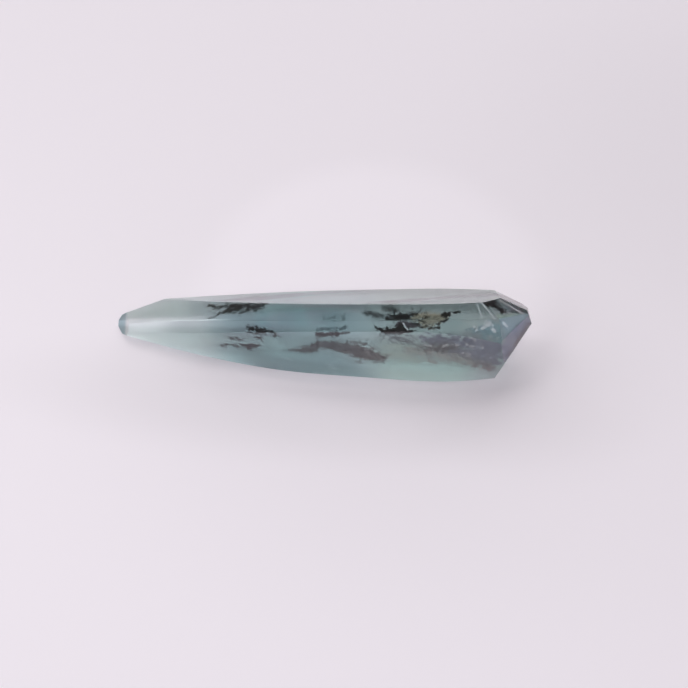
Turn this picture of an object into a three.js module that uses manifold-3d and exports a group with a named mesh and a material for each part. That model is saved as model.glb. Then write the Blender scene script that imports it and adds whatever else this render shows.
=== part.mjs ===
// A cut and polished point of blue opal: one faceted stone that lies on its long resting facet.
// Millimetres. +X runs from the blunt tip to the point, -Y is the front, +Z is up.
import * as THREE from "three";
import { mergeVertices } from "three/addons/utils/BufferGeometryUtils.js";
import Module from "manifold-3d";

// Driving dimensions
const STONE_LENGTH = 50;
const END_SPARE = 1; // the long facets run this far past each end, where the end facets cut them off
const STRIPS_PER_FACET = 40; // steps along a long facet's gentle curve
const WELD = 1e-3; // corners closer than this are one corner

// Every facet faces away from the stone. Its reach is how far it lies from the centre of the resting facet.
// A long facet runs from end to end and never turns along X, so its lean says which way it faces:
// 0 is the front, 90 up, 180 the back and 270 down. Its reach is given at evenly spaced stations,
// from just past the blunt tip to just past the point, and changes smoothly between them.
const LONG_FACETS = [
  { name: "front", lean: 30, reach: [1.0, 3.4, 5.05, 5.45, 5.25, 3.35] },
  { name: "shoulder", lean: 46, reach: [0.95, 3.7, 5.75, 6.45, 6.4, 4.0] },
  { name: "table", lean: 66, reach: [1.05, 4.2, 6.45, 7.45, 7.75, 5.7] },
  { name: "back slope", lean: 121, reach: [3.65, 5.0, 6.25, 7.25, 8.15, 8.65] },
  { name: "back", lean: 188, reach: [0.7, 1.8, 2.95, 3.9, 4.55, 4.5] },
  { name: "back heel", lean: 225, reach: [0.2, 0.95, 1.6, 2.1, 2.35, 2.2] },
  { name: "rest", lean: 270, reach: [0, 0, 0, 0, 0, 0] },
  { name: "front heel", lean: 315, reach: [0.3, 1.9, 2.85, 2.85, 2.55, 0.95] },
];

// An end facet is one flat plane. Heading turns from +X (0) towards the back (90), and rise is its tilt upwards.
const END_FACETS = [
  { name: "blunt tip", heading: 209, rise: 27, reach: 19.45 },
  { name: "tip back", heading: 116.5, rise: 30, reach: 11.05 },
  { name: "point top", heading: -10, rise: 63, reach: 16.2 },
  { name: "point shoulder", heading: -38, rise: 38.5, reach: 17.65 },
  { name: "point front", heading: -37, rise: 26, reach: 18.9 },
  { name: "point back slope", heading: 57, rise: 42.5, reach: 15.9 },
  { name: "point back", heading: 15, rise: 16, reach: 25.15 },
  { name: "point under front", heading: -22, rise: -21, reach: 19.2 },
  { name: "point under back", heading: 25, rise: -35, reach: 16.65 },
];

// The long facet's reach at each cross-section, from a smooth curve through its stations.
function reachesAlong({ reach }, places) {
  const first = places[0];
  const spacing = (places[places.length - 1] - first) / (reach.length - 1);
  const stations = reach.map((_, i) => first + i * spacing);
  const curve = new THREE.CubicInterpolant(stations, reach, 1);
  return places.map((x) => curve.evaluate(x)[0]);
}

// Where two facets meet in the cross-section: x holds the stone's Y, and y its Z.
function meet(facet, other) {
  const turn = facet.outward.cross(other.outward);
  return new THREE.Vector2(
    (facet.reach * other.outward.y - other.reach * facet.outward.y) / turn,
    (other.reach * facet.outward.x - facet.reach * other.outward.x) / turn,
  );
}

// One cross-section: the corner after each facet. A facet that its neighbours cut away shares their corner.
function crossSection(facets) {
  const count = facets.length;
  const shows = facets.map((facet, i) => {
    const before = facets[(i + count - 1) % count];
    const after = facets[(i + 1) % count];
    return meet(before, after).dot(facet.outward) > facet.reach;
  });
  return facets.map((_, i) => {
    const before = shows[i] ? facets[i] : facets[(i + count - 1) % count];
    const next = (i + 1) % count;
    const after = shows[next] ? facets[next] : facets[(i + 2) % count];
    return meet(before, after);
  });
}

// The closed surface between the long facets' cross-sections, with flat ends.
function longBody() {
  const start = -STONE_LENGTH / 2 - END_SPARE;
  const step = (-2 * start) / STRIPS_PER_FACET;
  const places = Array.from({ length: STRIPS_PER_FACET + 1 }, (_, i) => start + i * step);
  const reaches = LONG_FACETS.map((facet) => reachesAlong(facet, places));
  const sides = LONG_FACETS.length;
  const position = [];
  places.forEach((x, section) => {
    const facets = LONG_FACETS.map(({ lean }, i) => {
      const angle = THREE.MathUtils.degToRad(lean);
      return { outward: new THREE.Vector2(-Math.cos(angle), Math.sin(angle)), reach: reaches[i][section] };
    });
    crossSection(facets).forEach((corner) => position.push(x, corner.x, corner.y));
  });
  const index = [];
  for (let section = 0; section < STRIPS_PER_FACET; section += 1) {
    for (let side = 0; side < sides; side += 1) {
      const near = section * sides + side;
      const nearNext = section * sides + ((side + 1) % sides);
      index.push(near, near + sides, nearNext, nearNext, near + sides, nearNext + sides);
    }
  }
  const last = STRIPS_PER_FACET * sides;
  for (let side = 1; side < sides - 1; side += 1) {
    index.push(0, side, side + 1, last, last + side + 1, last + side);
  }
  const body = new THREE.BufferGeometry();
  body.setAttribute("position", new THREE.Float32BufferAttribute(position, 3));
  body.setIndex(index);
  return body;
}

// Everything outside one end facet: a block whose near face is the facet's plane.
function outsideEndFacet({ heading, rise, reach }) {
  const size = 2 * STONE_LENGTH;
  const turn = THREE.MathUtils.degToRad(heading);
  const tilt = THREE.MathUtils.degToRad(rise);
  const outward = new THREE.Vector3(
    Math.cos(tilt) * Math.cos(turn),
    Math.cos(tilt) * Math.sin(turn),
    Math.sin(tilt),
  );
  const block = new THREE.BoxGeometry(size, size, size);
  block.translate(0, 0, reach + size / 2);
  block.applyQuaternion(new THREE.Quaternion().setFromUnitVectors(new THREE.Vector3(0, 0, 1), outward));
  return block;
}

const manifold = await Module();
manifold.setup();

// A closed geometry as a solid that can be cut.
function solidOf(geometry) {
  const bare = geometry.clone();
  bare.deleteAttribute("normal");
  bare.deleteAttribute("uv");
  const welded = mergeVertices(bare, WELD);
  return new manifold.Manifold(
    new manifold.Mesh({
      numProp: 3,
      vertProperties: new Float32Array(welded.getAttribute("position").array),
      triVerts: new Uint32Array(welded.getIndex().array),
    }),
  );
}

// The solid as a flat-shaded geometry.
function geometryOf(solid) {
  const mesh = solid.getMesh();
  const indexed = new THREE.BufferGeometry();
  indexed.setAttribute("position", new THREE.BufferAttribute(mesh.vertProperties, mesh.numProp));
  indexed.setIndex(new THREE.BufferAttribute(mesh.triVerts, 1));
  const flat = indexed.toNonIndexed();
  flat.computeVertexNormals();
  return flat;
}

// The stone: the long body with everything outside the end facets ground away.
function cutStone() {
  const stone = END_FACETS.reduce(
    (left, facet) => left.subtract(solidOf(outsideEndFacet(facet))),
    solidOf(longBody()),
  );
  return geometryOf(stone);
}

// Moves the geometry so that the centre of its base is at the origin.
function standOnOrigin(geometry) {
  geometry.computeBoundingBox();
  const box = geometry.boundingBox;
  const middle = box.getCenter(new THREE.Vector3());
  geometry.translate(-middle.x, -middle.y, -box.min.z);
  return geometry;
}

const opalMaterial = new THREE.MeshStandardMaterial({ color: 0x86a3a3, roughness: 0.12, metalness: 0 });

const opal = new THREE.Mesh(standOnOrigin(cutStone()), opalMaterial);
opal.name = "opal";

const part = new THREE.Group();
part.add(opal);

export default part;
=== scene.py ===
from math import cos, radians, sin, tan

import bmesh
import bpy
import numpy as np
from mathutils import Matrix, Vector, noise
from mathutils.bvhtree import BVHTree


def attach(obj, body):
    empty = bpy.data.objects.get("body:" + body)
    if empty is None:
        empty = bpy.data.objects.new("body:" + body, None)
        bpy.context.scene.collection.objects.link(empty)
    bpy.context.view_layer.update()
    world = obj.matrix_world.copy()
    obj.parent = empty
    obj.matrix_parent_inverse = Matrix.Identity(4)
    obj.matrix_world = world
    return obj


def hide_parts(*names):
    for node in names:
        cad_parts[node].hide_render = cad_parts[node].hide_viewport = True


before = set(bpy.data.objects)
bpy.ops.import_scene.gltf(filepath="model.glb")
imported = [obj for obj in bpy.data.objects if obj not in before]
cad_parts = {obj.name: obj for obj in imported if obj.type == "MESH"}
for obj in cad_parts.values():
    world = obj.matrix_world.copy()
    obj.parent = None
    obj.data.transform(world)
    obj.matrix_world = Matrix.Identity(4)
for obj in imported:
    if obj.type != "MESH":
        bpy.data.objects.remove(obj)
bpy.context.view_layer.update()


def mm(value):
    return value / 1000


# The photograph's view, from a little to the right of the front and well above it. Its centre is
# given as right, up and towards the camera. The sensor is in millimetres.
VIEW_TURN = radians(6)
VIEW_RISE = radians(52)
VIEW_DISTANCE = mm(600)
VIEW_WIDTH = mm(83.17)
VIEW_CENTRE = (mm(2.563), mm(0.121), mm(2.87))
SENSOR_WIDTH = 36
CLIP_START = 0.01
CLIP_END = 20

TOWARDS_CAMERA = np.array(
    (sin(VIEW_TURN) * cos(VIEW_RISE), -cos(VIEW_TURN) * cos(VIEW_RISE), sin(VIEW_RISE))
)
VIEW_RIGHT = np.array((cos(VIEW_TURN), sin(VIEW_TURN), 0))
VIEW_UP = np.array((-sin(VIEW_TURN) * sin(VIEW_RISE), cos(VIEW_TURN) * sin(VIEW_RISE), cos(VIEW_RISE)))
VIEW_TARGET = VIEW_RIGHT * VIEW_CENTRE[0] + VIEW_UP * VIEW_CENTRE[1] + TOWARDS_CAMERA * VIEW_CENTRE[2]
CAMERA_PLACE = VIEW_TARGET + TOWARDS_CAMERA * VIEW_DISTANCE


# Camera
def make_camera():
    data = bpy.data.cameras.new("camera")
    data.sensor_width = SENSOR_WIDTH
    data.lens = SENSOR_WIDTH * VIEW_DISTANCE / VIEW_WIDTH
    data.clip_start = CLIP_START
    data.clip_end = CLIP_END
    camera = bpy.data.objects.new("camera", data)
    bpy.context.scene.collection.objects.link(camera)
    camera.location = Vector(CAMERA_PLACE)
    camera.rotation_euler = Vector(TOWARDS_CAMERA).to_track_quat("Z", "Y").to_euler()
    bpy.context.scene.camera = camera


# Shader node helpers. A value that is fed to a socket is another socket, or a plain number, colour
# or vector. The mix node's colour sockets are told apart by their numbers.
MIX_SHARE = 0
MIX_FIRST = 6
MIX_SECOND = 7
MIX_RESULT = 2
NOISE_MIDDLE = 0.5


def feed(tree, socket, value):
    if isinstance(value, bpy.types.NodeSocket):
        tree.links.new(value, socket)
    else:
        socket.default_value = value


def calculate(tree, operation, *values):
    node = tree.nodes.new("ShaderNodeMath")
    node.operation = operation
    for socket, value in zip(node.inputs, values):
        feed(tree, socket, value)
    return node.outputs[0]


def both(tree, first, second):
    return calculate(tree, "MULTIPLY", first, second)


def vector_node(tree, operation, values):
    node = tree.nodes.new("ShaderNodeVectorMath")
    node.operation = operation
    for socket, value in zip(node.inputs, values):
        feed(tree, socket, value)
    return node


def vector_number(tree, operation, *values):
    return vector_node(tree, operation, values).outputs["Value"]


def vector_result(tree, operation, *values):
    return vector_node(tree, operation, values).outputs["Vector"]


def smooth_step(tree, value, start, end):
    node = tree.nodes.new("ShaderNodeMapRange")
    node.interpolation_type = "SMOOTHSTEP"
    feed(tree, node.inputs["Value"], value)
    feed(tree, node.inputs["From Min"], start)
    feed(tree, node.inputs["From Max"], end)
    return node.outputs["Result"]


def mix_colour(tree, share, first, second):
    node = tree.nodes.new("ShaderNodeMix")
    node.data_type = "RGBA"
    feed(tree, node.inputs[MIX_SHARE], share)
    feed(tree, node.inputs[MIX_FIRST], first)
    feed(tree, node.inputs[MIX_SECOND], second)
    return node.outputs[MIX_RESULT]


def noise_texture(tree, place, size, detail=3, stretch=(1, 1, 1)):
    mapping = tree.nodes.new("ShaderNodeMapping")
    mapping.inputs["Scale"].default_value = [1 / (size * s) for s in stretch]
    feed(tree, mapping.inputs["Vector"], place)
    node = tree.nodes.new("ShaderNodeTexNoise")
    node.inputs["Scale"].default_value = 1
    node.inputs["Detail"].default_value = detail
    tree.links.new(mapping.outputs["Vector"], node.inputs["Vector"])
    return node.outputs["Fac"]


def new_material(name):
    material = bpy.data.materials.new(name)
    material.use_nodes = True
    tree = material.node_tree
    place = tree.nodes.new("ShaderNodeTexCoord").outputs["Object"]
    return material, tree, tree.nodes["Principled BSDF"], place


# Stage and light. The studio's pale walls fade into a dark ceiling between two heights. Each height
# is the sine of an elevation.
WALL_TOP = 0.25
CEILING_START = 0.5
WALL_COLOUR = (0.75, 0.68, 0.76, 1)
CEILING_COLOUR = (0.04, 0.04, 0.045, 1)
WORLD_STRENGTH = 1


def make_world():
    world = bpy.data.worlds.new("studio")
    world.use_nodes = True
    tree = world.node_tree
    background = tree.nodes["Background"]
    place = tree.nodes.new("ShaderNodeTexCoord")
    split = tree.nodes.new("ShaderNodeSeparateXYZ")
    tree.links.new(place.outputs["Generated"], split.inputs["Vector"])
    height = smooth_step(tree, split.outputs["Z"], WALL_TOP, CEILING_START)
    feed(tree, background.inputs["Color"], mix_colour(tree, height, WALL_COLOUR, CEILING_COLOUR))
    background.inputs["Strength"].default_value = WORLD_STRENGTH
    bpy.context.scene.world = world


# The softboxes face the stone. An azimuth of 0 is the front, 90 the right and 180 the back. Angles
# are in degrees, and power is in watts.
SOFTBOXES = (
    {
        "name": "back softbox", "azimuth": 186, "elevation": 42, "distance": 0.8,
        "size": (0.6, 0.4), "power": 2.4,
    },
    {
        "name": "low back card", "azimuth": 188, "elevation": 9, "distance": 0.5,
        "size": (0.9, 0.12), "power": 1.3,
    },
    {
        "name": "left softbox", "azimuth": 240, "elevation": 42, "distance": 0.9,
        "size": (0.5, 0.5), "power": 2.6,
    },
    {
        "name": "front right card", "azimuth": 30, "elevation": 54, "distance": 0.8,
        "size": (0.6, 0.28), "power": 1.05, "colour": (0.94, 1, 0.96),
    },
    {
        "name": "left top card", "azimuth": 275, "elevation": 48, "distance": 0.9,
        "size": (0.34, 0.19), "power": 0.19, "colour": (0.86, 1, 0.8),
    },
)

# The shoulder mirrors two lamps near the blunt tip. They share their left edge, so the highlight
# fades to the right. Their edges are azimuths.
HIGHLIGHT_LEFT = -54
HIGHLIGHT_DISTANCE = 0.8
HIGHLIGHT_HEIGHT = 0.25
HIGHLIGHT_RISE = 33
HIGHLIGHT_COLOUR = (0.9, 0.97, 1)
HIGHLIGHTS = ({"right": -44.3, "power": 0.38}, {"right": -43.2, "power": 0.03})


def softbox(name, azimuth, elevation, distance, size, power, colour=(1, 1, 1)):
    data = bpy.data.lights.new(name, "AREA")
    data.shape = "RECTANGLE"
    data.size, data.size_y = size
    data.energy = power
    data.color = colour
    lamp = bpy.data.objects.new(name, data)
    bpy.context.scene.collection.objects.link(lamp)
    turn = radians(azimuth)
    rise = radians(elevation)
    away = Vector((sin(turn) * cos(rise), -cos(turn) * cos(rise), sin(rise)))
    lamp.location = away * distance
    lamp.rotation_euler = away.to_track_quat("Z", "Y").to_euler()
    lamp.visible_camera = False


def highlight_lamp(right, power):
    width = 2 * HIGHLIGHT_DISTANCE * tan(radians(right - HIGHLIGHT_LEFT) / 2)
    softbox(
        "highlight lamp", (HIGHLIGHT_LEFT + right) / 2, HIGHLIGHT_RISE, HIGHLIGHT_DISTANCE,
        (width, HIGHLIGHT_HEIGHT), power, HIGHLIGHT_COLOUR,
    )


def make_lamps():
    for box in SOFTBOXES:
        softbox(**box)
    for lamp in HIGHLIGHTS:
        highlight_lamp(**lamp)


# The floor is a pale sheet just below the stone that also glows a little. The glow has a painted
# brighter pool of light and a painted falloff towards the back. Painted soft shadows take some of it
# away, and painted glints of light add some close in front of the stone.
FLOOR_RADIUS = 3
FLOOR_SEGMENTS = 96
FLOOR_COLOUR = (0.60, 0.55, 0.59, 1)
FLOOR_ROUGHNESS = 0.5
FLOOR_DROP = mm(0.05)
GLOW_COLOUR = (0.37, 0.345, 0.375, 1)
GLOW_STRENGTH = 0.955
# A painted pool of brighter light around the stone, and a painted falloff towards the back
PAINTED_POOL_CENTRE = (mm(5.4), mm(8.0), 0)
PAINTED_POOL_RADIUS = mm(21)
PAINTED_POOL_EDGE = mm(3)
PAINTED_POOL_GAIN = 0.135
PAINTED_DIM_DIRECTION = (0.35, 0.94, 0)
PAINTED_DIM_REACH = mm(62)
PAINTED_DIM_SHARE = 0.38
# Painted soft shadows: the stone's shadow in front of it and to its right, and a darker far right
PAINTED_FLOOR_SHADOWS = (
    {"centre": (mm(-2), mm(-9), 0), "stretch": (0.24, 1, 1), "reach": (mm(11), mm(3)), "share": 0.2},
    {"centre": (mm(27), mm(-3), 0), "stretch": (0.8, 0.9, 1), "reach": (mm(16), mm(3)), "share": 0.16},
    {"centre": (mm(46), mm(38), 0), "stretch": (1, 1, 1), "reach": (mm(44), mm(6)), "share": 0.13},
    {"centre": (mm(26), mm(5), 0), "stretch": (1, 1, 1), "reach": (mm(5), mm(1)), "share": 0.05},
)
# Painted glints: light that has passed through the stone, close in front of it
PAINTED_FLOOR_GLINTS = (
    {
        "centre": (mm(1), mm(-5.2), 0), "stretch": (0.1, 1, 1),
        "reach": (mm(2.6), mm(0.4)), "share": -0.28,
    },
    {
        "centre": (mm(-18), mm(-3.4), 0), "stretch": (0.36, 1, 1),
        "reach": (mm(2), mm(0.3)), "share": -0.1,
    },
    {
        "centre": (mm(20.5), mm(-3), 0), "stretch": (0.5, 1, 1),
        "reach": (mm(2.6), mm(0.4)), "share": -0.06,
    },
)


def floor_material():
    material, tree, shader, place = new_material("floor")
    shader.inputs["Base Color"].default_value = FLOOR_COLOUR
    shader.inputs["Roughness"].default_value = FLOOR_ROUGHNESS
    shader.inputs["Emission Color"].default_value = GLOW_COLOUR
    # Painted light and shade in the glow: the pool, the falloff, the shadows and the glints
    off_centre = vector_number(tree, "DISTANCE", place, PAINTED_POOL_CENTRE)
    painted_pool = smooth_step(tree, off_centre, PAINTED_POOL_RADIUS + PAINTED_POOL_EDGE, PAINTED_POOL_RADIUS - PAINTED_POOL_EDGE)
    along = vector_number(tree, "DOT_PRODUCT", place, PAINTED_DIM_DIRECTION)
    painted_dim = smooth_step(tree, along, -PAINTED_DIM_REACH, PAINTED_DIM_REACH)
    gain = calculate(tree, "MULTIPLY_ADD", painted_pool, PAINTED_POOL_GAIN, GLOW_STRENGTH)
    kept = calculate(tree, "MULTIPLY_ADD", painted_dim, -PAINTED_DIM_SHARE, 1)
    painted_glow = both(tree, gain, kept)
    for shade in (*PAINTED_FLOOR_SHADOWS, *PAINTED_FLOOR_GLINTS):
        painted_glow = both(tree, painted_glow, glow_left_by_painted_shadow(tree, place, shade))
    feed(tree, shader.inputs["Emission Strength"], painted_glow)
    return material


# How much of the floor's glow a painted soft shadow leaves. A painted glint has a negative share,
# so it adds light.
def glow_left_by_painted_shadow(tree, place, shade):
    offset = vector_result(tree, "SUBTRACT", place, shade["centre"])
    squeezed = vector_result(tree, "MULTIPLY", offset, shade["stretch"])
    strength = smooth_step(tree, vector_number(tree, "LENGTH", squeezed), *shade["reach"])
    return calculate(tree, "MULTIPLY_ADD", strength, -shade["share"], 1)


def make_floor():
    bm = bmesh.new()
    bmesh.ops.create_circle(bm, cap_ends=True, segments=FLOOR_SEGMENTS, radius=FLOOR_RADIUS)
    mesh = bpy.data.meshes.new("floor")
    bm.to_mesh(mesh)
    bm.free()
    floor = bpy.data.objects.new("floor", mesh)
    floor.location.z = -FLOOR_DROP
    bpy.context.scene.collection.objects.link(floor)
    mesh.materials.append(floor_material())


# The stone is the CAD solid with its ridges worn down. Doubled corners are welded first, and faces
# that bend less than a strip's bend become one.
WELD = mm(0.002)
STRIP_BEND = radians(0.25)
RIDGE_ANGLE = radians(5)
RIDGE_WIDTH = mm(0.05)
RIDGE_SEGMENTS = 2
WIDE_RIDGE_WIDTH = mm(0.25)
WIDE_RIDGE_SEGMENTS = 3
WIDE_RIDGES = (("point top", "point back slope"),)
ROUND_PROFILE = 0.5
SOUND = 0
WORN = 1


def make_stone():
    bm = bmesh.new()
    bm.from_mesh(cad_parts["opal"].data)
    bmesh.ops.remove_doubles(bm, verts=bm.verts, dist=WELD)
    bmesh.ops.dissolve_limit(bm, angle_limit=STRIP_BEND, verts=bm.verts, edges=bm.edges)
    wear(bm, [edge for edge in sharp_edges(bm) if is_wide(edge)], WIDE_RIDGE_WIDTH, WIDE_RIDGE_SEGMENTS)
    wear(bm, sharp_edges(bm), RIDGE_WIDTH, RIDGE_SEGMENTS)
    for face in bm.faces:
        face.smooth = True
        face.material_index = SOUND
    mesh = bpy.data.meshes.new("opal_stone")
    bm.to_mesh(mesh)
    bm.free()
    stone = bpy.data.objects.new("opal_stone", mesh)
    bpy.context.scene.collection.objects.link(stone)
    weighted = stone.modifiers.new("weighted normals", "WEIGHTED_NORMAL")
    weighted.mode = "FACE_AREA"
    weighted.keep_sharp = False
    mesh.materials.append(opal_material())
    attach(stone, "root")
    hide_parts("opal")


# While the ridges are worn down, a worn face is marked by its material number, so that its own
# edges aren't worn again.
def sharp_edges(bm):
    edges = [edge for edge in bm.edges if edge.calc_face_angle(0) > RIDGE_ANGLE]
    return [edge for edge in edges if all(face.material_index == SOUND for face in edge.link_faces)]


def is_wide(edge):
    names = facet_of(np.array([face.normal for face in edge.link_faces]))
    return tuple(sorted(names)) in [tuple(sorted(pair)) for pair in WIDE_RIDGES]


def wear(bm, edges, width, segments):
    bmesh.ops.bevel(
        bm, geom=edges, offset=width, offset_type="OFFSET", segments=segments, profile=ROUND_PROFILE,
        affect="EDGES", clamp_overlap=True, material=WORN,
    )


# The body colour. It tints light each time that it passes the surface, so it is paler than the
# stone looks. A pair of lengths says where a smooth change starts and where it ends.
PALE_TINT = (1, 1, 1, 1)
EDGE_TINT = (0.62, 0.57, 0.6, 1)
BLUE_TINT = (0.52, 0.63, 0.67, 1)
DEEP_BLUE_TINT = (0.13, 0.15, 0.17, 1)
GREEN_TINT = (0.84, 0.84, 0.80, 1)
DEEP_GREEN_TINT = (0.62, 0.56, 0.54, 1)
# A painted shade at the lower right corner of the front, partly the stone's own beige tone
PAINTED_CORNER_SHADE = (0.46, 0.32, 0.36, 1)
TIP_TINT = (0.38, 0.58, 0.62, 1)
VEIL_TINT = (0.78, 0.82, 0.85, 1)
DRIFT_SIZE = mm(4)
DRIFT_STRETCH = (2, 1, 1)
DRIFT = mm(6)
BLUE_START = (mm(-14.5), mm(-9.8))
BLUE_END = (mm(8), mm(1))
DEEP_START = (mm(-18), mm(-6))
DEEP_END = (mm(11), mm(3))
GREEN_START = (mm(4), mm(10))
CORNER_START = (mm(16), mm(20))
TIP_START = (mm(-23.8), mm(-24.3))
LOW_RANGE = (mm(4), mm(2.2))
FRONT_RANGE = (mm(-2.4), mm(-3.8))
BACK_RANGE = (mm(-1.0), mm(0.2))
BACK_SHARE = 0.85
VEIL_SIZE = mm(1.6)
VEIL_STRETCH = (2.5, 1, 1)
VEIL_DETAIL = 5
VEIL_RANGE = (0.5, 0.8)
VEIL_SHARE = 0.35

# Local painted shades and painted gleams, and the back slope's streaks. Each part of the shoulder has
# a start and an end. Each streak of the back slope has a middle and the two distances from it
# between which it fades in.
# Painted shade on two parts of the shoulder facet
PAINTED_SHOULDER_SHADE = (0.7, 0.8, 0.82)
SHOULDER_PARTS = (
    ((mm(-15), mm(-11)), (mm(-4.8), mm(-7.2))),
    ((mm(-2), mm(1.5)), (mm(19), mm(16.5))),
)
SHOULDER_MIDDLE = mm(-1.6)
SHOULDER_RANGE = (mm(1.4), mm(0.6))
# Painted gleams: patches where the body colour is painted lighter
PAINTED_GLEAMS = (
    {
        "start": (mm(-4.5), mm(-1.5)), "end": (mm(4.5), mm(1.5)),
        "depth": BACK_RANGE, "tint": (1.25, 1.6, 1.45),
    },
    {
        "start": (mm(-8), mm(-6)), "end": (mm(-1), mm(-3)),
        "depth": (mm(-2.6), mm(-1.8)), "tint": (1, 1.2, 1.16),
    },
)
# A painted gleam that lightens the point
PAINTED_POINT_GLEAM_TINT = (1.26, 1.36, 1.34)
PAINTED_POINT_GLEAM_CENTRE = (mm(22.7), mm(1.3), mm(6.7))
PAINTED_POINT_GLEAM_RANGE = (mm(2.4), mm(1.4))
STREAK_SHADE = (0.54, 0.4, 0.48)
STREAK_SLOPE = 0.25
STREAKS = ((mm(3.7), mm(1.1), mm(0.3)), (mm(-0.9), mm(0.8), mm(0.1)))
STREAK_BACK = (mm(0.6), mm(1.4))
# A painted shade over the far corner of the point
PAINTED_FAR_CORNER_SHADE = (0.33, 0.24, 0.28)
FAR_CORNER_START = (mm(20.6), mm(21.6))
FAR_CORNER_BACK = (mm(2.8), mm(3.6))


def between(tree, value, start, end):
    return both(tree, smooth_step(tree, value, *start), smooth_step(tree, value, *end))


def shaded(tree, share, colour, shade):
    return mix_colour(tree, share, colour, vector_result(tree, "MULTIPLY", colour, shade))


def near_middle(tree, value, middle, reach):
    distance = calculate(tree, "ABSOLUTE", calculate(tree, "SUBTRACT", value, middle))
    return smooth_step(tree, distance, *reach)


def body_colour(tree, place):
    split = tree.nodes.new("ShaderNodeSeparateXYZ")
    feed(tree, split.inputs[0], place)
    along, depth, height = split.outputs
    drift_noise = noise_texture(tree, place, DRIFT_SIZE, stretch=DRIFT_STRETCH)
    drift = calculate(tree, "SUBTRACT", drift_noise, NOISE_MIDDLE)
    wandering = calculate(tree, "MULTIPLY_ADD", drift, DRIFT, along)
    # Towards the bottom of the front the tints are darker, and the blue tint is weaker towards the back
    low = both(tree, smooth_step(tree, height, *LOW_RANGE), smooth_step(tree, depth, *FRONT_RANGE))
    front = calculate(tree, "MULTIPLY_ADD", smooth_step(tree, depth, *BACK_RANGE), -BACK_SHARE, 1)
    blue = both(tree, between(tree, wandering, BLUE_START, BLUE_END), front)
    deep = both(tree, between(tree, wandering, DEEP_START, DEEP_END), low)
    corner = both(tree, smooth_step(tree, along, *CORNER_START), low)
    colour = mix_colour(tree, blue, mix_colour(tree, low, PALE_TINT, EDGE_TINT), BLUE_TINT)
    green = mix_colour(tree, low, GREEN_TINT, DEEP_GREEN_TINT)
    colour = mix_colour(tree, smooth_step(tree, wandering, *GREEN_START), colour, green)
    colour = mix_colour(tree, deep, colour, DEEP_BLUE_TINT)
    # The painted shade at the lower right corner
    colour = mix_colour(tree, corner, colour, PAINTED_CORNER_SHADE)
    colour = mix_colour(tree, smooth_step(tree, along, *TIP_START), colour, TIP_TINT)
    colour = local_shades(tree, place, along, depth, wandering, colour)
    veil_noise = noise_texture(tree, place, VEIL_SIZE, detail=VEIL_DETAIL, stretch=VEIL_STRETCH)
    veil = smooth_step(tree, veil_noise, *VEIL_RANGE)
    return mix_colour(tree, both(tree, veil, VEIL_SHARE), colour, VEIL_TINT)


# Painted shade on the shoulder, painted gleams, streaks on the back slope and a painted shade at the far
# corner, laid over the body colour
def local_shades(tree, place, along, depth, wandering, colour):
    # The painted shade on the shoulder
    shoulder = near_middle(tree, depth, SHOULDER_MIDDLE, SHOULDER_RANGE)
    for start, end in SHOULDER_PARTS:
        part = both(tree, shoulder, between(tree, wandering, start, end))
        colour = shaded(tree, part, colour, PAINTED_SHOULDER_SHADE)
    # The painted gleams
    for painted_gleam in PAINTED_GLEAMS:
        across = between(tree, wandering, painted_gleam["start"], painted_gleam["end"])
        part = both(tree, across, smooth_step(tree, depth, *painted_gleam["depth"]))
        colour = shaded(tree, part, colour, painted_gleam["tint"])
    # The painted gleam at the point
    off_point = vector_number(tree, "DISTANCE", place, PAINTED_POINT_GLEAM_CENTRE)
    colour = shaded(tree, smooth_step(tree, off_point, *PAINTED_POINT_GLEAM_RANGE), colour, PAINTED_POINT_GLEAM_TINT)
    slanted = calculate(tree, "MULTIPLY_ADD", along, -STREAK_SLOPE, depth)
    back = smooth_step(tree, depth, *STREAK_BACK)
    for middle, edge, core in STREAKS:
        streak = near_middle(tree, slanted, middle, (edge, core))
        colour = shaded(tree, both(tree, streak, back), colour, STREAK_SHADE)
    # The painted shade over the far corner
    right = smooth_step(tree, along, *FAR_CORNER_START)
    far = smooth_step(tree, depth, *FAR_CORNER_BACK)
    return shaded(tree, both(tree, right, far), colour, PAINTED_FAR_CORNER_SHADE)


# The stone's optical values
IOR = 1.45
ROUGHNESS = 0.4
COAT_IOR = 1.6
COAT_ROUGHNESS = 0.1
ABSORPTION_COLOUR = (0.25, 0.5, 0.5, 1)
ABSORPTION_DENSITY = 138


def opal_material():
    material, tree, shader, place = new_material("opal")
    feed(tree, shader.inputs["Base Color"], body_colour(tree, place))
    shader.inputs["Roughness"].default_value = ROUGHNESS
    shader.inputs["IOR"].default_value = IOR
    shader.inputs["Transmission Weight"].default_value = 1
    shader.inputs["Coat Weight"].default_value = 1
    shader.inputs["Coat Roughness"].default_value = COAT_ROUGHNESS
    shader.inputs["Coat IOR"].default_value = COAT_IOR
    absorb = tree.nodes.new("ShaderNodeVolumeAbsorption")
    absorb.inputs["Color"].default_value = ABSORPTION_COLOUR
    absorb.inputs["Density"].default_value = ABSORPTION_DENSITY
    tree.links.new(absorb.outputs["Volume"], tree.nodes["Material Output"].inputs["Volume"])
    return material


# Facets, by the way they face. A lean of 0 is the front, 90 up and 180 the back. A heading of 0 is
# the right, and 90 the back.
def long_facet(lean):
    angle = radians(lean)
    return np.array((0, -cos(angle), sin(angle)))


def end_facet(heading, rise):
    turn = radians(heading)
    tilt = radians(rise)
    return np.array((cos(tilt) * cos(turn), cos(tilt) * sin(turn), sin(tilt)))


FACETS = {
    "front": long_facet(30),
    "shoulder": long_facet(46),
    "table": long_facet(66),
    "back slope": long_facet(121),
    "point top": end_facet(-10, 63),
    "point shoulder": end_facet(-38, 38.5),
    "point front": end_facet(-37, 26),
    "point back slope": end_facet(57, 42.5),
}

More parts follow.
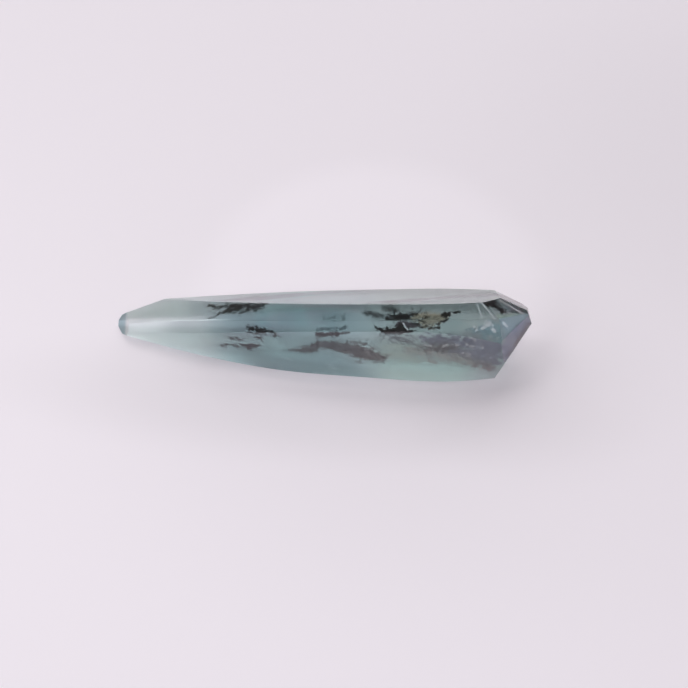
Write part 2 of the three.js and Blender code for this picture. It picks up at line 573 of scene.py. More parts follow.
# The CAD solid's surface, and how far inside it each marking stays
cad_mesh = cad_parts["opal"].data
SURFACE = BVHTree.FromPolygons(
    [corner.co for corner in cad_mesh.vertices], [tuple(face.vertices) for face in cad_mesh.polygons]
)
WALL_CLEARANCE = mm(0.06)
UP = Vector((0, 0, 1))


# For each point drawn in the photograph's view, the ray to it, where the ray meets the stone, and
# the normal there. A ray that misses gets a point outside the stone.
def meet_surface(drawn):
    on_screen = np.outer(drawn[:, 0], VIEW_RIGHT) + np.outer(drawn[:, 1], VIEW_UP)
    ray = on_screen + TOWARDS_CAMERA * VIEW_CENTRE[2] - CAMERA_PLACE
    ray /= np.linalg.norm(ray, axis=1, keepdims=True)
    hits = [SURFACE.ray_cast(Vector(CAMERA_PLACE), Vector(direction)) for direction in ray]
    surface = np.array([hit[0] or CAMERA_PLACE + direction for hit, direction in zip(hits, ray)])
    normal = np.array([hit[1] or UP for hit in hits])
    return ray, surface, normal


# The way that light takes inside the stone
def bend_into_stone(ray, normal):
    straight = -np.sum(ray * normal, axis=1, keepdims=True)
    bent = 1 - (1 - straight**2) / IOR**2
    return ray / IOR + (straight / IOR - np.sqrt(bent)) * normal


def facet_of(normal):
    names = list(FACETS)
    best = (normal @ np.array([FACETS[name] for name in names]).T).argmax(axis=1)
    return np.array(names)[best]


def inside_stone(points):
    inside = []
    for point in points:
        nearest, normal, _, distance = SURFACE.find_nearest(Vector(point))
        inside.append(distance > WALL_CLEARANCE and normal.dot(Vector(point) - nearest) < 0)
    return np.array(inside)


# Markings. A marking is drawn with strokes in the photograph's view, as (right, up, half width) in
# millimetres from the stone's origin. Noise frays its outline, and it becomes a thin closed flake
# inside the stone. Its field is the distance to the outline, and above zero inside. A dot has no
# length, so its squared length is raised to the least square before it divides.
CELL = mm(0.04)
GRID_MARGIN = 2 * CELL
FLAKE_THICKNESS = mm(0.05)
FAR_OUTSIDE = -1000.0
LEAST_SQUARE = 1e-12
FRAY_FALL = 0.3
FRAY_LACUNARITY = 2.0
FRAY_OCTAVES = 3


def stroke_field(drawn, strokes):
    best = np.full(len(drawn), FAR_OUTSIDE)
    for stroke in strokes:
        corners = mm(np.array(stroke, float))
        if len(corners) == 1:
            corners = np.vstack((corners, corners))
        for start, end in zip(corners[:-1], corners[1:]):
            span = end[:2] - start[:2]
            along = np.clip((drawn - start[:2]) @ span / max(span @ span, LEAST_SQUARE), 0, 1)
            nearest = start[:2] + along[:, None] * span
            width = start[2] + along * (end[2] - start[2])
            best = np.maximum(best, width - np.linalg.norm(drawn - nearest, axis=1))
    return best


def fray(drawn, size, seed, slant, stretch):
    turn = radians(slant)
    along = (drawn @ np.array((cos(turn), sin(turn)))) / (size * stretch)
    across = (drawn @ np.array((-sin(turn), cos(turn)))) / size
    settings = (FRAY_FALL, FRAY_LACUNARITY, FRAY_OCTAVES)
    return np.array([noise.fractal((a, b, seed), *settings) for a, b in zip(along, across)])


# The grid of drawn points around the strokes, and those of them that the frayed outline can reach
def grid_around(strokes, spread):
    reach = mm(max(max(point[2] for point in stroke) for stroke in strokes) + spread)
    ends = mm(np.array([point[:2] for stroke in strokes for point in stroke]))
    low = ends.min(axis=0) - reach
    columns, rows = np.ceil((ends.max(axis=0) + reach - low) / CELL).astype(int) + 1
    grid = np.stack(np.meshgrid(np.arange(columns), np.arange(rows), indexing="ij"), axis=-1)
    drawn = low + grid.reshape(-1, 2) * CELL
    field = stroke_field(drawn, strokes)
    near = np.flatnonzero(field > -mm(spread) - GRID_MARGIN)
    kept = np.full(len(drawn), FAR_OUTSIDE)
    kept[near] = field[near]
    return drawn, kept, near, (columns, rows)


# A marking is seen through the named facets alone. A flat one lies under the plane of the facet
# over its middle, and may reach past this facet.
def marking(
    name, material, strokes, facets, depth, seed,
    grain=0.3, spread=0.2, slant=0, stretch=1, flat=False,
):
    drawn, field, near, shape = grid_around(strokes, spread)
    field[near] += fray(drawn[near], mm(grain), seed, slant, stretch) * mm(spread)
    ray, surface, normal = meet_surface(drawn[near])
    blocked = ~np.isin(facet_of(normal), facets)
    if flat:
        middle = np.where(blocked, FAR_OUTSIDE, field[near]).argmax()
        normal = np.repeat(normal[middle : middle + 1], len(near), axis=0)
        drop = np.sum((surface[middle] - CAMERA_PLACE) * normal, axis=1)
        surface = CAMERA_PLACE + ray * (drop / np.sum(ray * normal, axis=1))[:, None]
        blocked = False
    path = bend_into_stone(ray, normal)
    fall = -np.sum(path * normal, axis=1, keepdims=True)
    front = surface + path * mm(depth) / fall
    back = surface + path * (mm(depth) + FLAKE_THICKNESS) / fall
    blocked = blocked | ~inside_stone(front) | ~inside_stone(back)
    field[near] = np.where(blocked, FAR_OUTSIDE, field[near])
    sheets = np.zeros((2, len(drawn), 3))
    sheets[:, near] = front, back
    make_flake(name, material, field.reshape(shape), sheets)


# The closed flake between two sheets of points, where the field is above zero. A spot is a corner
# of the grid, or the place where the outline crosses between two corners.
def make_flake(name, material, field, sheets):
    rows = field.shape[1]
    places = {}
    spots = []

    def spot(one, other):
        key = (one, other)
        if key not in places:
            places[key] = len(spots)
            share = field.flat[one] / (field.flat[one] - field.flat[other]) if other >= 0 else 0
            spots.append((one, max(other, 0), share))
        return places[key]

    polygons = []
    for column, row in zip(*np.nonzero(cells_with_marking(field))):
        corner = column * rows + row
        ring = (corner, corner + rows, corner + rows + 1, corner + 1)
        polygon = []
        for here, following in zip(ring, ring[1:] + ring[:1]):
            if field.flat[here] > 0:
                polygon.append(spot(here, -1))
            if (field.flat[here] > 0) != (field.flat[following] > 0):
                inner, outer = (here, following) if field.flat[here] > 0 else (following, here)
                polygon.append(spot(inner, outer))
        polygons.append(polygon)
    inner, outer, share = (np.array(part) for part in zip(*spots))
    share = share[:, None]
    points = np.vstack([sheet[inner] * (1 - share) + sheet[outer] * share for sheet in sheets])
    add_piece(name, material, points, closed_faces(polygons, len(spots)))


def cells_with_marking(field):
    inside = field > 0
    return inside[:-1, :-1] | inside[1:, :-1] | inside[:-1, 1:] | inside[1:, 1:]


# The faces of the front sheet, of the back sheet, whose points start at back_start, and of the rim
# between them
def closed_faces(polygons, back_start):
    edges = {(a, b) for polygon in polygons for a, b in zip(polygon, polygon[1:] + polygon[:1])}
    rim = [(a, b) for a, b in edges if (b, a) not in edges]
    faces = list(polygons)
    faces += [[index + back_start for index in reversed(polygon)] for polygon in polygons]
    faces += [[b, a, a + back_start, b + back_start] for a, b in sorted(rim)]
    return faces


def add_piece(name, material, points, faces):
    mesh = bpy.data.meshes.new(name)
    mesh.from_pydata(points.tolist(), [], faces)
    mesh.update()
    mesh.materials.append(material)
    piece = bpy.data.objects.new(name, mesh)
    bpy.context.scene.collection.objects.link(piece)
    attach(piece, "root")


# Minerals. Each is mottled between two colours, with a grain in millimetres. Some have a painted
# glow, so that they stay pale inside the stone.
MOTTLE_RANGE = (0.35, 0.65)
MINERAL_ROUGHNESS = 0.6
MINERAL_SPECULAR = 0.1
MINERALS = {
    "manganese_black_and_painted_reflection": {"first": (0.004, 0.004, 0.005), "second": (0.02, 0.016, 0.015)},
    "manganese_brown_and_painted_reflection": {"first": (0.08, 0.07, 0.08), "second": (0.14, 0.12, 0.13)},
    "grey_brown": {"first": (0.12, 0.12, 0.12), "second": (0.34, 0.34, 0.345), "grain": 0.45},
    "iron_ochre": {"first": (0.74, 0.68, 0.54), "second": (0.48, 0.44, 0.36), "grain": 0.3},
    "plum_shade": {"first": (0.26, 0.22, 0.27), "second": (0.14, 0.12, 0.15)},
    "dark_haze": {"first": (0.05, 0.055, 0.07), "second": (0.12, 0.13, 0.15)},
    "pale_specks": {"first": (0.78, 0.83, 0.88), "second": (0.66, 0.71, 0.76), "painted_glow": 0.34},
    "soft_pale": {"first": (0.72, 0.78, 0.85), "second": (0.62, 0.68, 0.75), "painted_glow": 0.25},
    "pale_wisps_and_painted_reflection": {"first": (0.75, 0.74, 0.8), "second": (0.6, 0.6, 0.62), "painted_glow": 0.08},
    "painted_ridge_highlight": {"first": (0.8, 0.86, 0.9), "second": (0.7, 0.76, 0.8), "painted_glow": 0.5},
    "milky_cloud": {
        "first": (0.34, 0.41, 0.39), "second": (0.31, 0.38, 0.37), "grain": 0.8, "painted_glow": 0.45,
    },
    "smoke": {"first": (0.36, 0.37, 0.5), "second": (0.53, 0.54, 0.66), "grain": 1},
    "beige_fringe": {"first": (0.78, 0.76, 0.72), "second": (0.62, 0.61, 0.6), "grain": 0.8},
    "grey_ghost": {"first": (0.3, 0.36, 0.4), "second": (0.4, 0.46, 0.5)},
    "faint_ghost": {"first": (0.5, 0.58, 0.6), "second": (0.6, 0.68, 0.7)},
    "point_smoke": {"first": (0.5, 0.52, 0.7), "second": (0.7, 0.71, 0.86), "grain": 1},
    "painted_warm_rim_shade": {"first": (0.5, 0.4, 0.42), "second": (0.6, 0.48, 0.48), "grain": 0.5},
    "blue_veil": {"first": (0.46, 0.66, 0.74), "second": (0.54, 0.72, 0.8), "grain": 1},
    "green_wedge": {"first": (0.6, 0.74, 0.66), "second": (0.66, 0.78, 0.72), "grain": 0.8},
}


def mineral(name, first, second, grain=0.4, painted_glow=0):
    material, tree, shader, place = new_material(name)
    mottle = smooth_step(tree, noise_texture(tree, place, mm(grain)), *MOTTLE_RANGE)
    feed(tree, shader.inputs["Base Color"], mix_colour(tree, mottle, (*first, 1), (*second, 1)))
    shader.inputs["Roughness"].default_value = MINERAL_ROUGHNESS
    shader.inputs["Specular IOR Level"].default_value = MINERAL_SPECULAR
    # The painted glow: light that the mineral gives off though it is no lamp
    shader.inputs["Emission Color"].default_value = (*first, 1)
    shader.inputs["Emission Strength"].default_value = painted_glow
    return material


# The strokes of each marking, read off the photograph
FEATHER = (
    ((-11.6, 4.75, 0.16), (-10.9, 4.75, 0.26), (-10.0, 4.8, 0.2), (-9.1, 4.85, 0.14), (-7.9, 4.95, 0.1)),
    ((-8.8, 5.0, 0.1), (-7.6, 5.0, 0.08), (-6.65, 4.95, 0.03)),
    ((-13.7, 4.8, 0.12), (-13.2, 4.6, 0.16), (-12.8, 4.5, 0.14), (-12.2, 4.6, 0.12), (-11.7, 4.8, 0.12)),
    ((-13.25, 4.35, 0.06), (-12.45, 4.4, 0.06)),
    ((-13.64, 3.26, 0.03), (-12.5, 3.8, 0.06), (-11.46, 4.25, 0.12), (-10.9, 4.6, 0.16)),
    ((-11.82, 3.75, 0.04), (-11.3, 4.1, 0.12), (-10.49, 4.6, 0.16)),
    ((-11.2, 3.95, 0.04), (-10.6, 4.3, 0.12), (-10.0, 4.7, 0.14)),
    ((-10.86, 3.81, 0.04), (-10.2, 4.25, 0.1), (-9.65, 4.72, 0.12)),
    ((-9.89, 3.75, 0.04), (-9.2, 4.2, 0.08), (-8.56, 4.65, 0.1)),
    ((-9.41, 4.11, 0.04), (-8.8, 4.45, 0.08), (-8.08, 4.84, 0.1)),
    ((-8.56, 3.99, 0.04), (-8.0, 4.3, 0.07), (-7.35, 4.72, 0.06)),
    ((-8.08, 4.23, 0.03), (-7.6, 4.5, 0.06), (-7.11, 4.84, 0.06)),
)
FEATHER_SHADE = (
    ((-11.3, 4.5, 0.3), (-10.3, 4.55, 0.42), (-9.3, 4.6, 0.46), (-8.3, 4.65, 0.4), (-7.4, 4.8, 0.24)),
)
RIDGE_SPECKS = (
    ((-9.05, 2.25, 0.14), (-8.85, 2.05, 0.24), (-8.2, 1.95, 0.28), (-7.6, 1.8, 0.32), (-7.1, 1.7, 0.3)),
    ((-7.1, 1.7, 0.26), (-6.6, 1.65, 0.12)),
    ((-8.1, 1.55, 0.1), (-7.5, 1.5, 0.18), (-7.0, 1.4, 0.14)),
    ((-7.25, 1.6, 0.28),),
    ((-6.85, 1.7, 0.1), (-6.5, 1.65, 0.14), (-6.2, 1.55, 0.1), (-5.65, 1.45, 0.04)),
    ((-9.0, 1.5, 0.1), (-8.7, 1.5, 0.08), (-8.45, 1.4, 0.04)),
    ((-6.25, 1.3, 0.06), (-6.0, 1.1, 0.16), (-5.7, 1.2, 0.1)),
)
BROWN_SPECKS = (
    ((-8.45, 0.95, 0.06), (-7.85, 0.95, 0.1), (-7.25, 0.9, 0.08)),
    ((-7.7, 0.85, 0.14), (-7.45, 0.7, 0.1)),
    ((-7.3, 0.4, 0.1),),
    ((-11.35, 1.0, 0.1), (-11.05, 0.8, 0.14), (-10.85, 0.75, 0.08)),
    ((-10.75, 1.0, 0.06), (-10.35, 0.8, 0.06), (-9.95, 0.55, 0.1), (-9.65, 0.7, 0.1)),
    (
        (-12.25, -0.05, 0.12), (-11.95, -0.1, 0.1), (-11.45, 0.1, 0.1), (-10.85, 0.0, 0.1),
        (-10.35, -0.05, 0.08),
    ),
    ((-10.35, -0.05, 0.08), (-10.25, -0.25, 0.14)),
    ((-12.05, -0.2, 0.06), (-11.75, -0.3, 0.06)),
    ((-10.0, 0.05, 0.08), (-9.3, -0.1, 0.2), (-8.8, -0.1, 0.3), (-8.3, -0.05, 0.2), (-7.6, -0.05, 0.08)),
    ((-9.05, -0.35, 0.26), (-8.8, -0.5, 0.16)),
    ((-8.2, -0.15, 0.14), (-7.95, -0.25, 0.1)),
)
BROWN_BAND = (
    (
        (-3.95, -0.56, 0.12), (-3.25, -0.6, 0.24), (-2.4, -0.66, 0.36), (-1.55, -0.56, 0.42),
        (-0.95, -0.45, 0.42),
    ),
    ((-2.75, -0.25, 0.06), (-2.25, -0.15, 0.08), (-1.55, -0.15, 0.1)),
    ((-1.3, -0.3, 0.32), (-0.7, 0.2, 0.36), (-0.6, 0.4, 0.22), (-0.6, 0.8, 0.1)),
    ((-0.6, 0.1, 0.42), (0.4, 0.0, 0.46), (1.45, -0.15, 0.56), (2.7, -0.42, 0.66), (3.9, -0.68, 0.8)),
    ((3.9, -0.68, 0.8), (5.1, -1.04, 0.76), (6.3, -1.42, 0.58), (7.3, -1.65, 0.38)),
    ((2.8, 0.25, 0.1), (3.55, 0.25, 0.14), (4.15, 0.25, 0.12), (5.1, 0.0, 0.1)),
    ((5.85, -0.35, 0.12), (6.3, -0.5, 0.1)),
    ((7.65, -1.4, 0.1), (7.95, -1.35, 0.08)),
    ((0.25, -0.4, 0.08), (0.65, -0.4, 0.1)),
    ((4.15, -2.0, 0.06), (4.55, -1.95, 0.08)),
    ((6.2, -1.95, 0.14), (7.4, -2.1, 0.06)),
)
STRIP = (
    ((-0.75, 1.3, 0.24), (-0.3, 1.28, 0.3), (0.25, 1.24, 0.22), (1.0, 1.3, 0.3), (1.7, 1.3, 0.3)),
    ((1.7, 1.3, 0.3), (2.1, 1.4, 0.13), (2.7, 1.44, 0.12), (3.1, 1.44, 0.13), (3.45, 1.4, 0.05)),
)
BOAT = (
    ((6.35, 2.15, 0.14), (6.65, 1.95, 0.16), (7.4, 1.7, 0.24), (8.35, 1.7, 0.34), (9.45, 1.75, 0.42)),
    ((9.45, 1.75, 0.42), (10.3, 1.65, 0.2), (10.8, 1.7, 0.14), (11.2, 1.8, 0.06)),
    ((9.1, 2.1, 0.26), (9.45, 2.25, 0.3), (9.35, 2.5, 0.18)),
    ((7.5, 2.0, 0.12), (7.9, 2.05, 0.16)),
)
CLUSTER_BRUSH = (
    ((8.2, 3.55, 0.1), (8.95, 3.5, 0.22), (9.95, 3.52, 0.22), (10.8, 3.62, 0.16), (11.75, 3.75, 0.08)),
    ((7.9, 3.0, 0.16), (8.6, 3.0, 0.28), (9.6, 3.05, 0.22), (10.5, 3.0, 0.16), (11.2, 2.85, 0.12)),
    ((8.1, 3.25, 0.24), (9.4, 3.28, 0.26), (10.6, 3.28, 0.16)),
)
CLUSTER = (
    ((10.9, 2.6, 0.08), (11.5, 2.55, 0.16), (11.75, 2.8, 0.1)),
    ((12.25, 3.25, 0.14), (12.6, 3.35, 0.12)),
    ((12.0, 2.85, 0.12), (12.2, 2.8, 0.1)),
    ((14.3, 3.65, 0.14), (14.75, 3.65, 0.34), (15.1, 3.75, 0.32), (15.2, 3.95, 0.14)),
    ((14.9, 3.35, 0.12),),
    ((15.25, 3.95, 0.1), (16.0, 4.0, 0.08), (16.4, 4.0, 0.1)),
    ((16.2, 3.45, 0.1),),
    ((15.1, 3.15, 0.08), (14.55, 2.85, 0.14), (13.95, 2.5, 0.14), (13.55, 2.35, 0.08)),
    ((12.8, 2.0, 0.08), (13.45, 2.0, 0.14), (13.95, 2.1, 0.1)),
    ((11.85, 2.15, 0.06), (12.5, 2.2, 0.06)),
)
CLUSTER_SHADE = (
    ((9.5, 2.6, 0.3), (10.4, 2.45, 0.42), (11.2, 2.35, 0.34), (11.7, 2.3, 0.16)),
    ((8.6, 2.5, 0.14), (9.2, 2.6, 0.22)),
)
CLUSTER_HAZE = (
    ((7.9, 3.3, 0.3), (8.8, 3.5, 0.4), (10.0, 3.55, 0.36), (11.2, 3.7, 0.26), (12.3, 3.9, 0.14)),
    ((8.3, 2.9, 0.36), (9.4, 3.0, 0.36), (10.6, 2.9, 0.3)),
)
OCHRE_PATCH = (
    ((10.9, 3.2, 0.2), (11.75, 3.4, 0.36), (12.95, 3.5, 0.46), (13.95, 3.5, 0.38), (14.4, 3.5, 0.22)),
    ((12.0, 2.85, 0.44), (13.2, 2.9, 0.5), (14.15, 3.1, 0.38), (14.8, 3.2, 0.2)),
    ((12.1, 2.35, 0.24), (13.3, 2.4, 0.2)),
)
DEEP_PATCH = (
    ((7.3, 4.45, 0.2), (7.75, 4.4, 0.26), (8.25, 4.3, 0.32), (8.75, 4.15, 0.3)),
    ((8.25, 4.7, 0.2), (8.35, 4.35, 0.26)),
    ((5.1, 3.85, 0.24), (5.85, 3.8, 0.22), (6.55, 3.65, 0.26), (7.3, 3.5, 0.22)),
    ((6.05, 3.4, 0.16), (6.9, 3.4, 0.16)),
)
STRIP_GHOST = (
    ((-0.6, 1.85, 0.12), (0.4, 1.95, 0.14), (1.4, 2.0, 0.12), (2.3, 1.95, 0.14)),
    ((2.5, 2.1, 0.16), (2.75, 2.15, 0.2)),
)
DEEP_GHOST = (((0.1, 3.3, 0.1), (1.0, 3.3, 0.2), (2.0, 3.4, 0.16), (2.8, 3.35, 0.06)),)
# A painted reflection: black blobs near the point, an inner reflection of a dendrite
PAINTED_REFLECTED_BLOBS = (
    ((19.55, 5.02, 0.22), (20.09, 4.96, 0.32), (20.46, 5.05, 0.32), (20.82, 4.65, 0.26)),
    ((20.21, 5.38, 0.16), (20.64, 5.26, 0.26)),
    ((20.82, 4.65, 0.18), (21.42, 4.29, 0.24), (21.73, 4.13, 0.3), (22.03, 4.11, 0.14)),
)
POINT_SHADE = (
    ((20.7, 5.3, 0.28), (21.3, 4.8, 0.24)),
    ((19.6, 5.15, 0.16), (20.3, 5.25, 0.26)),
)
# Painted reflections: a dark and a pale stripe along the point's top
PAINTED_DARK_REFLECTION_BAND = (((21.4, 5.7, 0.05), (22.85, 4.88, 0.06), (24.35, 4.02, 0.05)),)
PAINTED_PALE_REFLECTION_BAND = (((21.3, 5.48, 0.08), (22.8, 4.6, 0.09), (24.2, 3.78, 0.11)),)
# Painted highlights: two bright lines where facet edges near the point catch light
PAINTED_EDGE_HIGHLIGHTS = (
    ((18.67, 4.97, 0.05), (19.34, 3.02, 0.05)),
    ((19.17, 5.14, 0.07), (20.95, 3.02, 0.08)),
)
POINT_SMOKE = (
    ((21.7, -2.2, 0.6), (22.3, -0.9, 0.9), (22.9, 0.2, 1.0), (23.3, 1.2, 1.4), (24.8, 3.1, 1.4)),
)
POINT_VEIL = (
    ((21.0, 2.2, 1.4), (22.6, 2.6, 1.4), (24.4, 3.0, 1.2)),
    ((21.8, 0.8, 1.2),),
)
POINT_WEDGE = (((21.3, 3.4, 0.36), (22.5, 3.45, 0.34), (23.4, 3.6, 0.2), (24.0, 3.72, 0.06)),)
# A painted shade along the point's right edge
PAINTED_RIM_SHADE = (((25.0, 2.6, 0.08), (23.5, 0.35, 0.1), (22.3, -1.45, 0.06)),)
SHOULDER_VEIL = (((18.2, 1.7, 0.3), (19.4, 1.7, 0.7), (21.6, 1.6, 1.3)),)
PALE_SPECKS = (
    ((18.3, 2.15, 0.15),),
    ((18.55, 1.8, 0.17),),
    ((19.3, 2.05, 0.18), (19.5, 2.15, 0.24)),
    ((19.95, 2.5, 0.28), (20.2, 2.6, 0.26)),
    ((19.75, 2.9, 0.1),),
    ((20.6, 1.9, 0.24), (20.75, 1.6, 0.2)),
    ((20.3, 1.95, 0.1),),
    ((18.95, 2.35, 0.07),),
    ((19.55, 2.6, 0.08),),
    ((20.5, 2.35, 0.12),),
    ((21.05, 2.0, 0.07),),
    ((21.9, 2.72, 0.12), (22.2, 2.3, 0.15)),
)
# A painted highlight along the ridge between the table and the shoulder
PAINTED_RIDGE_HIGHLIGHT = (((-20.9, 2.84, 0.03), (-16.5, 2.98, 0.05), (-13.0, 3.04, 0.06), (-11.2, 3.08, 0.03)),)
# Painted reflections: stripes along the point's back slope
PAINTED_REFLECTION_STRIPES = (
    ((21.36, 6.13, 0.05), (24.75, 4.35, 0.06)),
    ((21.36, 5.86, 0.05), (24.7, 4.1, 0.05)),
)
MILKY_CLOUD = (
    ((6.6, -1.2, 0.3), (8.8, -1.1, 0.55), (10.3, -1.4, 0.55), (11.5, -1.9, 0.35)),
    ((7.4, -0.3, 0.25), (8.8, -0.2, 0.4), (10.3, -0.4, 0.35)),
)
BLUE_HAZE = (((6.9, 1.3, 0.15), (8.4, 1.0, 0.35), (9.8, 0.7, 0.42), (10.8, 0.5, 0.25)),)
PALE_CURVE = (((9.75, 2.65, 0.06), (9.9, 2.3, 0.06), (10.25, 1.85, 0.08)),)
SMOKE = (
    ((12.4, 0.7, 0.4), (14.0, 0.6, 0.75), (17.0, 0.3, 0.95), (19.5, 0.0, 1.1), (20.9, -0.3, 1.0)),
    ((13.2, -0.4, 0.4), (15.0, -0.7, 0.7), (18.0, -1.1, 0.9), (20.6, -1.3, 1.0)),
    ((17.5, -1.6, 0.5), (20.5, -2.0, 0.7)),
)
SMOKE_STREAK = (((11.6, -0.3, 0.12), (13.0, -0.3, 0.3), (14.5, -0.35, 0.34), (16.0, -0.4, 0.16)),)
SMOKE_FRINGE = (
    ((10.2, -0.75, 0.2), (11.8, -0.95, 0.34), (13.4, -1.2, 0.44), (15.0, -1.4, 0.44), (17.0, -1.8, 0.36)),
    ((17.0, -1.8, 0.36), (18.6, -2.3, 0.3), (20.2, -2.7, 0.2)),
    ((12.9, -1.7, 0.25), (13.4, -2.1, 0.2)),
)
SMOKE_WISPS = (
    ((12.4, 0.05, 0.05), (13.2, -0.05, 0.07)),
    ((14.5, -0.2, 0.08), (15.0, -0.05, 0.12)),
    ((15.7, 0.0, 0.1), (16.2, 0.05, 0.08)),
    ((17.8, 0.85, 0.08), (18.4, 0.65, 0.12)),
    ((17.4, 0.1, 0.1), (18.0, -0.25, 0.12)),
    ((19.3, -0.3, 0.12),),
    ((19.2, -1.9, 0.08), (19.7, -2.1, 0.1)),
    ((16.9, -1.0, 0.07), (17.6, -1.15, 0.1)),
)

# The facets that markings are seen through
TABLE = ("table",)
SHOULDER = ("shoulder",)
FRONT = ("front",)
UPPER = ("table", "shoulder")
LOWER = ("shoulder", "front")
POINT_TOP = ("point top",)
POINT_FRONT = ("point front",)
POINT_SHOULDER = ("point shoulder",)
POINT_BACK = ("point back slope",)
POINT_UPPER = ("point top", "table")
UPPER_AND_POINT = ("table", "shoulder", "point shoulder")

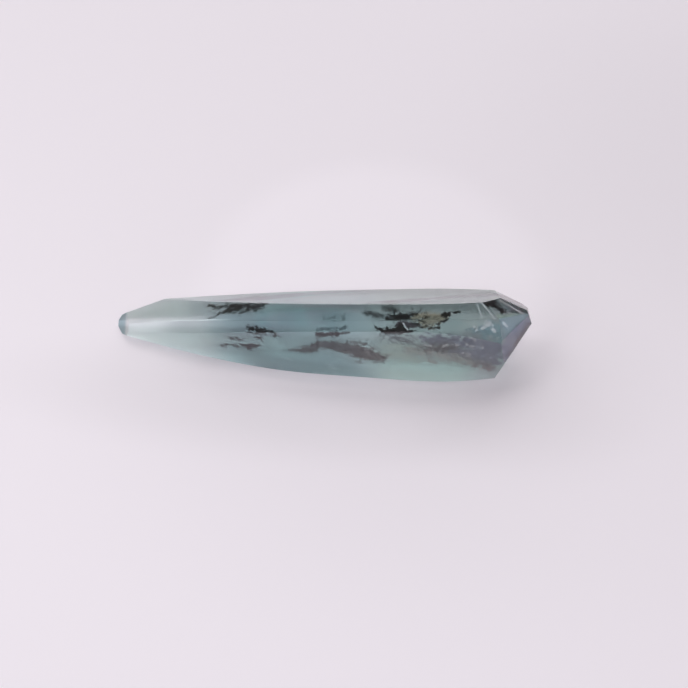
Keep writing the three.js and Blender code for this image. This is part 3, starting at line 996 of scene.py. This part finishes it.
# Each marking's name, mineral, strokes, facets and settings. Its depth, and the grain and spread of
# its fray, are in millimetres.
MARKINGS = (
    (
        "feather_dendrite", "manganese_black_and_painted_reflection", FEATHER, TABLE,
        {"depth": 0.2, "seed": 2, "grain": 0.2, "spread": 0.4, "slant": 35, "stretch": 3},
    ),
    (
        "feather_shade", "dark_haze", FEATHER_SHADE, TABLE,
        {"depth": 0.5, "seed": 3, "grain": 0.16, "spread": 0.8, "slant": 35, "stretch": 4},
    ),
    ("ridge_specks", "manganese_black_and_painted_reflection", RIDGE_SPECKS, LOWER, {"depth": 0.15, "seed": 5, "spread": 0.4}),
    ("brown_specks", "manganese_brown_and_painted_reflection", BROWN_SPECKS, FRONT, {"depth": 0.2, "seed": 8, "grain": 0.25}),
    (
        "brown_band", "grey_brown", BROWN_BAND, FRONT,
        {"depth": 0.15, "seed": 13, "grain": 0.26, "spread": 0.45, "stretch": 1.2},
    ),
    (
        "brown_strip", "manganese_brown_and_painted_reflection", STRIP, FRONT,
        {"depth": 0.2, "seed": 14, "grain": 0.25, "spread": 0.22},
    ),
    (
        "strip_ghost", "grey_ghost", STRIP_GHOST, SHOULDER,
        {"depth": 0.4, "seed": 15, "grain": 0.2, "spread": 0.4},
    ),
    ("deep_ghost", "faint_ghost", DEEP_GHOST, TABLE, {"depth": 1, "seed": 19, "spread": 0.9}),
    ("boat_dendrite", "manganese_black_and_painted_reflection", BOAT, LOWER, {"depth": 0.15, "seed": 17}),
    (
        "cluster_dendrite", "manganese_black_and_painted_reflection", CLUSTER, UPPER,
        {"depth": 0.2, "seed": 20, "spread": 0.34, "slant": 8, "stretch": 1.6},
    ),
    (
        "cluster_brush", "manganese_black_and_painted_reflection", CLUSTER_BRUSH, TABLE,
        {"depth": 0.55, "seed": 25, "spread": 0.4, "slant": 4, "stretch": 3},
    ),
    (
        "cluster_haze", "dark_haze", CLUSTER_HAZE, TABLE,
        {"depth": 0.6, "seed": 21, "grain": 0.25, "spread": 0.9},
    ),
    ("cluster_shade", "plum_shade", CLUSTER_SHADE, UPPER, {"depth": 0.3, "seed": 23, "spread": 0.3}),
    (
        "ochre_patch", "iron_ochre", OCHRE_PATCH, UPPER,
        {"depth": 0.22, "seed": 26, "grain": 0.25, "spread": 0.4},
    ),
    (
        "deep_dendrite", "manganese_black_and_painted_reflection", DEEP_PATCH, TABLE,
        {"depth": 2.6, "seed": 29, "grain": 0.25, "spread": 0.4, "flat": True},
    ),
    # The painted reflection of a dendrite near the point
    (
        "painted_reflected_dendrite", "manganese_black_and_painted_reflection", PAINTED_REFLECTED_BLOBS, POINT_UPPER,
        {"depth": 0.25, "seed": 32, "grain": 0.25, "spread": 0.3},
    ),
    (
        "point_shade", "dark_haze", POINT_SHADE, POINT_UPPER,
        {"depth": 0.5, "seed": 33, "grain": 0.2, "spread": 0.7},
    ),
    # The painted reflections along the point's top
    (
        "point_painted_dark_reflection", "plum_shade", PAINTED_DARK_REFLECTION_BAND, POINT_TOP,
        {"depth": 0.1, "seed": 34, "spread": 0.06},
    ),
    (
        "point_painted_pale_reflection", "pale_wisps_and_painted_reflection", PAINTED_PALE_REFLECTION_BAND, POINT_TOP,
        {"depth": 0.1, "seed": 35, "spread": 0.04},
    ),
    (
        "pale_specks", "soft_pale", PALE_SPECKS, UPPER_AND_POINT,
        {"depth": 0.18, "seed": 40, "spread": 0.1},
    ),
    # The painted highlight along the ridge
    (
        "painted_ridge_highlight", "painted_ridge_highlight", PAINTED_RIDGE_HIGHLIGHT, UPPER,
        {"depth": 0.08, "seed": 36, "grain": 0.6, "spread": 0.04},
    ),
    # The painted reflections along the point's back slope
    (
        "painted_reflection_stripes", "manganese_brown_and_painted_reflection", PAINTED_REFLECTION_STRIPES, POINT_BACK,
        {"depth": 0.07, "seed": 37, "grain": 0.6, "spread": 0.03},
    ),
    (
        "milky_cloud", "milky_cloud", MILKY_CLOUD, FRONT,
        {"depth": 1.2, "seed": 46, "grain": 0.5, "spread": 0.6, "stretch": 2},
    ),
    (
        "blue_haze", "grey_ghost", BLUE_HAZE, FRONT,
        {"depth": 0.7, "seed": 47, "grain": 0.25, "spread": 1, "stretch": 2},
    ),
    (
        "pale_curve", "pale_specks", PALE_CURVE, UPPER,
        {"depth": 0.1, "seed": 38, "grain": 0.4, "spread": 0.04},
    ),
    # The painted highlights of the facet edges
    (
        "painted_edge_highlights", "soft_pale", PAINTED_EDGE_HIGHLIGHTS, TABLE,
        {"depth": 0.1, "seed": 39, "grain": 0.4, "spread": 0.02},
    ),
    (
        "smoke_cloud", "smoke", SMOKE, FRONT,
        {"depth": 1, "seed": 41, "grain": 0.35, "spread": 1.1, "slant": -10, "stretch": 2},
    ),
    ("point_smoke", "point_smoke", POINT_SMOKE, POINT_FRONT, {"depth": 0.25, "seed": 42, "spread": 0.1}),
    ("point_veil", "blue_veil", POINT_VEIL, POINT_SHOULDER, {"depth": 0.4, "seed": 48, "spread": 0.1}),
    ("point_wedge", "green_wedge", POINT_WEDGE, POINT_TOP, {"depth": 0.4, "seed": 49}),
    # The painted shade along the point's right edge
    (
        "point_painted_rim_shade", "painted_warm_rim_shade", PAINTED_RIM_SHADE, POINT_FRONT,
        {"depth": 0.1, "seed": 50, "grain": 0.4, "spread": 0.08},
    ),
    (
        "shoulder_veil", "blue_veil", SHOULDER_VEIL, SHOULDER,
        {"depth": 0.5, "seed": 51, "grain": 0.4, "spread": 1, "stretch": 2},
    ),
    (
        "smoke_streak", "grey_brown", SMOKE_STREAK, FRONT,
        {"depth": 0.7, "seed": 43, "grain": 0.25, "spread": 0.8},
    ),
    (
        "smoke_fringe", "beige_fringe", SMOKE_FRINGE, FRONT,
        {"depth": 0.8, "seed": 44, "spread": 1, "stretch": 2},
    ),
    (
        "smoke_wisps", "pale_wisps_and_painted_reflection", SMOKE_WISPS, FRONT,
        {"depth": 0.5, "seed": 45, "grain": 0.25, "spread": 0.35, "stretch": 2},
    ),
)


def make_markings():
    materials = {name: mineral(name, **look) for name, look in MINERALS.items()}
    for name, kind, strokes, facets, settings in MARKINGS:
        marking(name, materials[kind], strokes, facets, **settings)


make_camera()
make_world()
make_floor()
make_lamps()
make_stone()
make_markings()
bpy.context.scene.view_settings.view_transform = "Standard"
